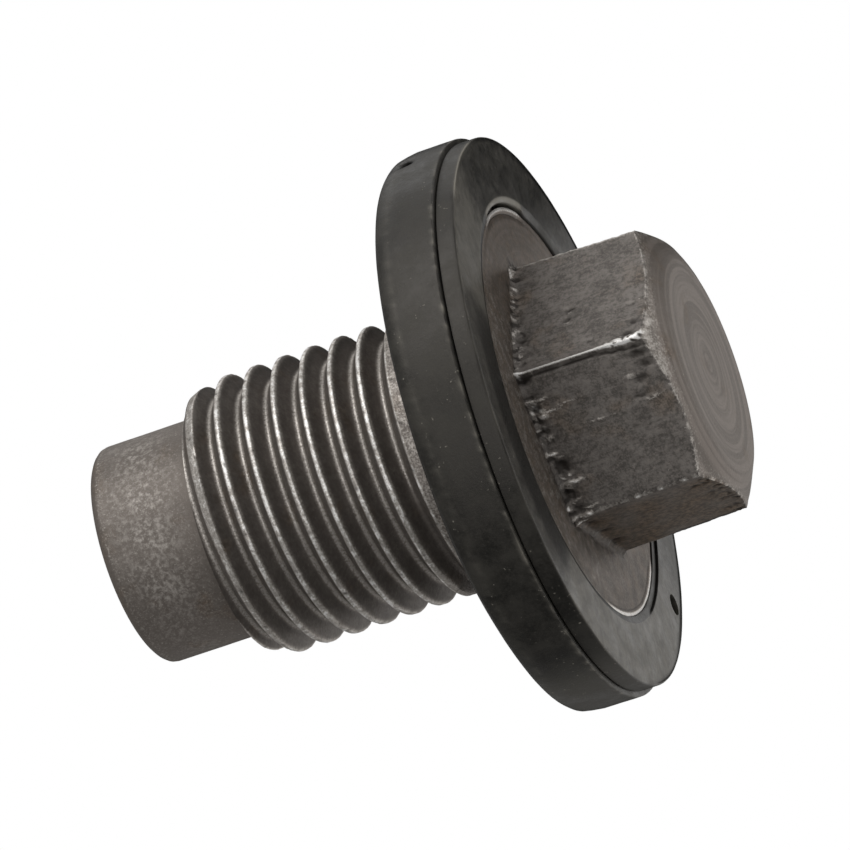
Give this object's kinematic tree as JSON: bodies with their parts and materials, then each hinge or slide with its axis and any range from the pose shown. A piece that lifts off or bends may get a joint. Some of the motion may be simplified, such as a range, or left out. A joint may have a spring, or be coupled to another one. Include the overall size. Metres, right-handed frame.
{
  "type": "oil drain plug",
  "caption": "Hex-head oil drain plug with a flange, a moulded-on rubber seal, a right-hand metric thread and a plain pilot nose.",
  "frame": {"origin": "centre of the hexagon head's end face, on the thread axis", "axes": "+Z along the thread axis from the head to the pilot nose, +X through a corner of the hexagon"},
  "size_m": [0.0283, 0.0282, 0.0303],
  "materials": {
    "steel": "forged steel with a dark phosphate and oil coat, worn bright on thread crests and hexagon corners",
    "rubber": "moulded black nitrile rubber, satin"
  },
  "bodies": {
    "root": {"plug_body": "steel", "rubber_seal": "rubber"}
  },
  "joints": []
}
